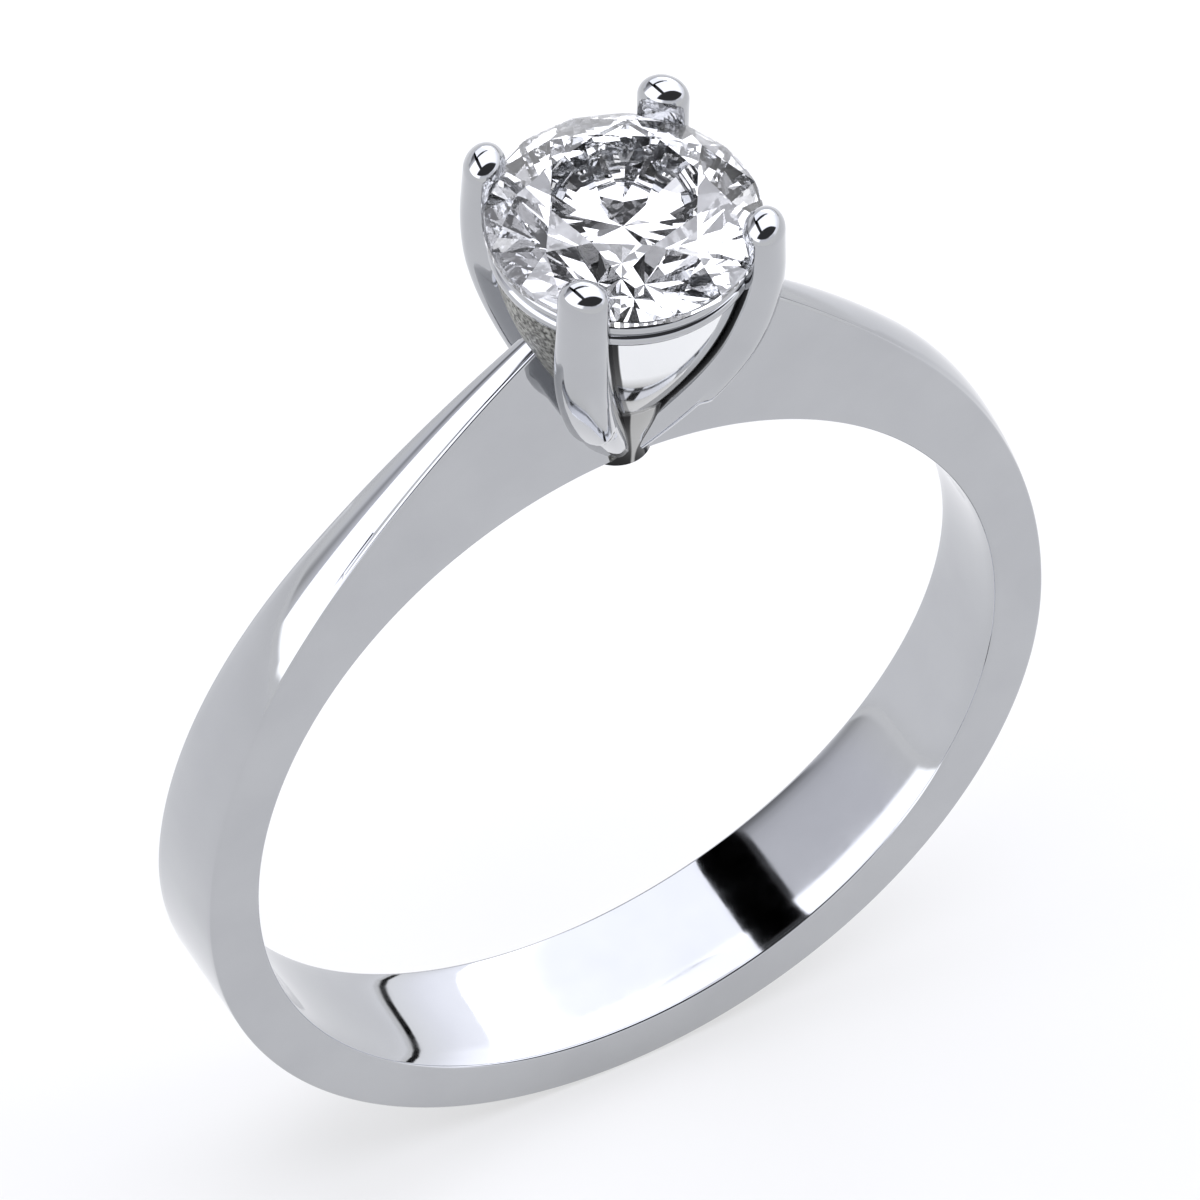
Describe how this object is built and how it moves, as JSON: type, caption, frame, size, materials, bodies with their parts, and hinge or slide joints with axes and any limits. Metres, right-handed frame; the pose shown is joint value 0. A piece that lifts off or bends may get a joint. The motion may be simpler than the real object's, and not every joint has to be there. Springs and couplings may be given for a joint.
{
  "type": "solitaire engagement ring",
  "caption": "Polished white-metal solitaire ring: tapering band with raised shoulders and a claw head holding a round brilliant.",
  "frame": {"origin": "centre of the finger hole", "axes": "+Y along the finger hole, +Z towards the stone, X across the band so that the two shoulders lie at +X and -X"},
  "size_m": [0.0196, 0.0056, 0.026],
  "materials": {
    "white_gold": "mirror polished, rhodium-plated white gold",
    "white_gold_cup": "rhodium-plated white gold, polished outside the recesses and left slightly granular inside them",
    "diamond": "clear colourless diamond, polished facets"
  },
  "bodies": {
    "root": {"shank": "white_gold", "head_cup": "white_gold_cup", "seat_rail": "white_gold", "claw_front_left": "white_gold", "claw_front_right": "white_gold", "claw_back_left": "white_gold", "claw_back_right": "white_gold", "diamond": "diamond"}
  },
  "joints": []
}
